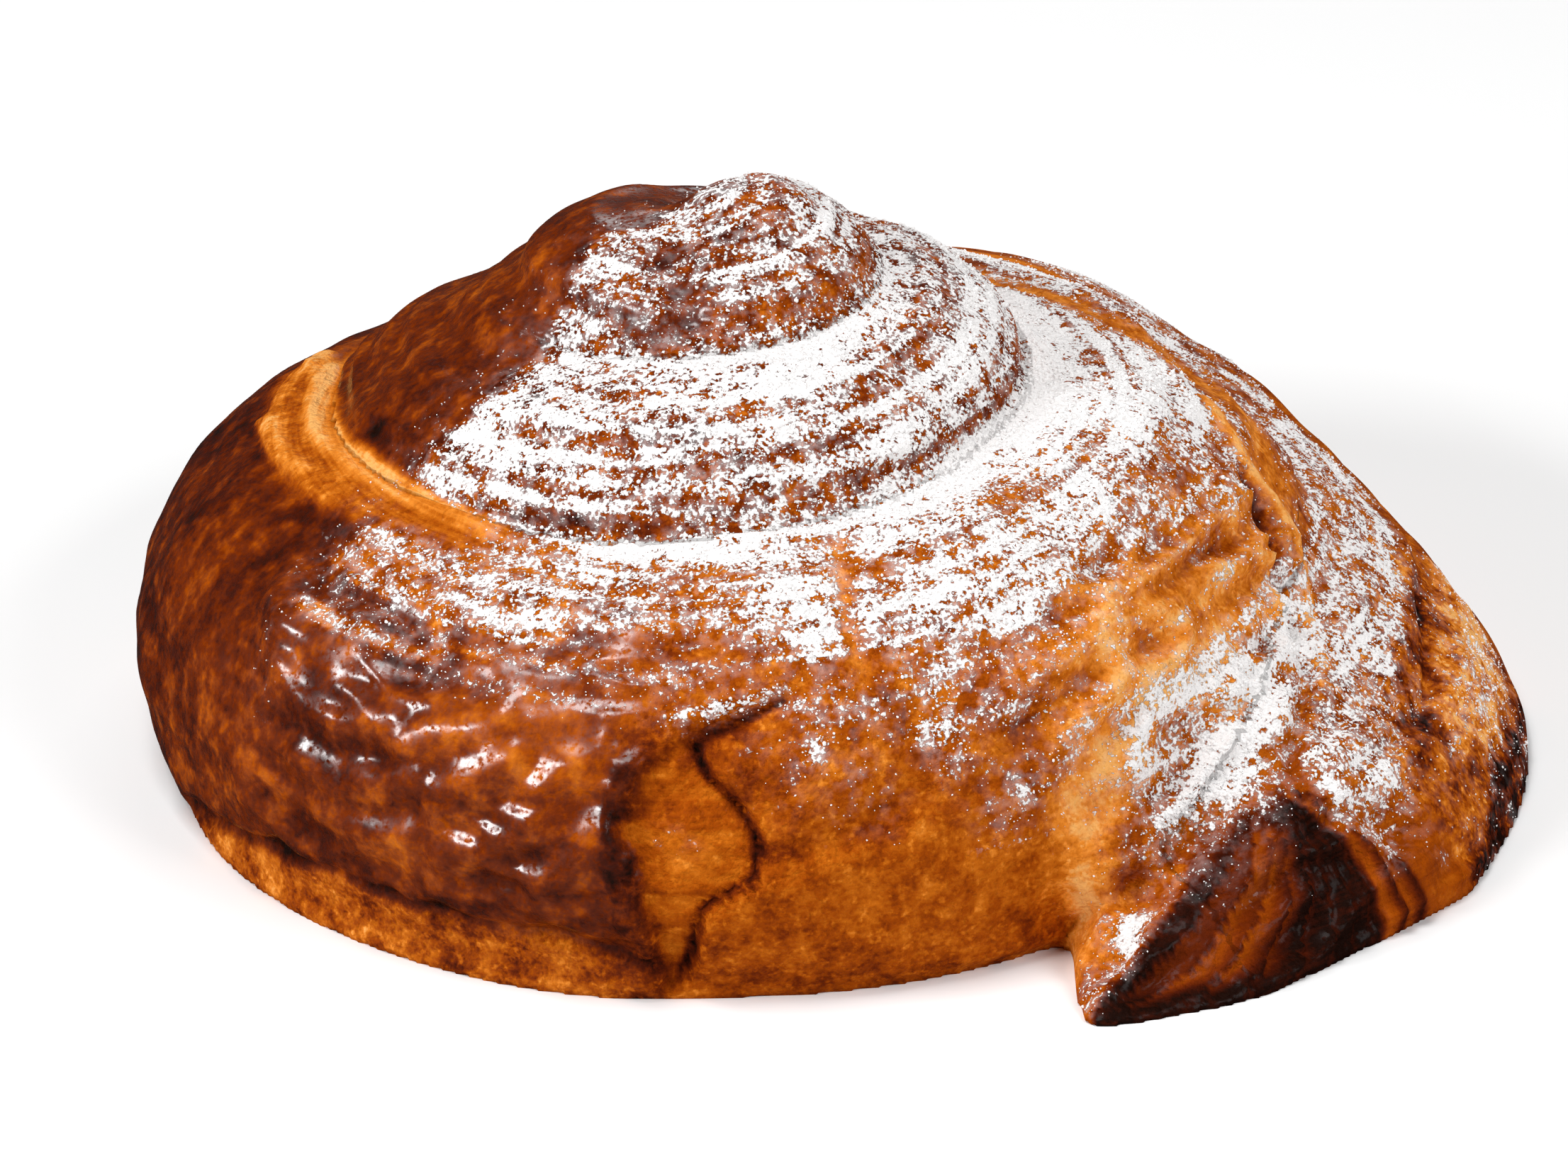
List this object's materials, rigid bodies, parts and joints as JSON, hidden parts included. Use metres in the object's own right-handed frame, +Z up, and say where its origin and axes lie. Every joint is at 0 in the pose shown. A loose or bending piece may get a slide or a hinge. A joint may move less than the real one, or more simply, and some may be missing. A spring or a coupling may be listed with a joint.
{
  "type": "cinnamon roll",
  "caption": "Coiled cinnamon roll of laminated dough, stepped up to a knob, with its loose end laid beside it and icing sugar dusted over one half.",
  "frame": {"origin": "on the flat underside, where the axis of the coil meets it", "axes": "+Z up along the axis of the coil, -Y towards the side with the split crust, +X towards the loose end"},
  "size_m": [0.1212, 0.1086, 0.0511],
  "materials": {
    "crust": "browned egg-washed crust, glossy and dark on one side, matt orange brown on the other",
    "icing_sugar": "fine dry white powder"
  },
  "bodies": {
    "root": {"roll": "crust"}
  },
  "joints": []
}
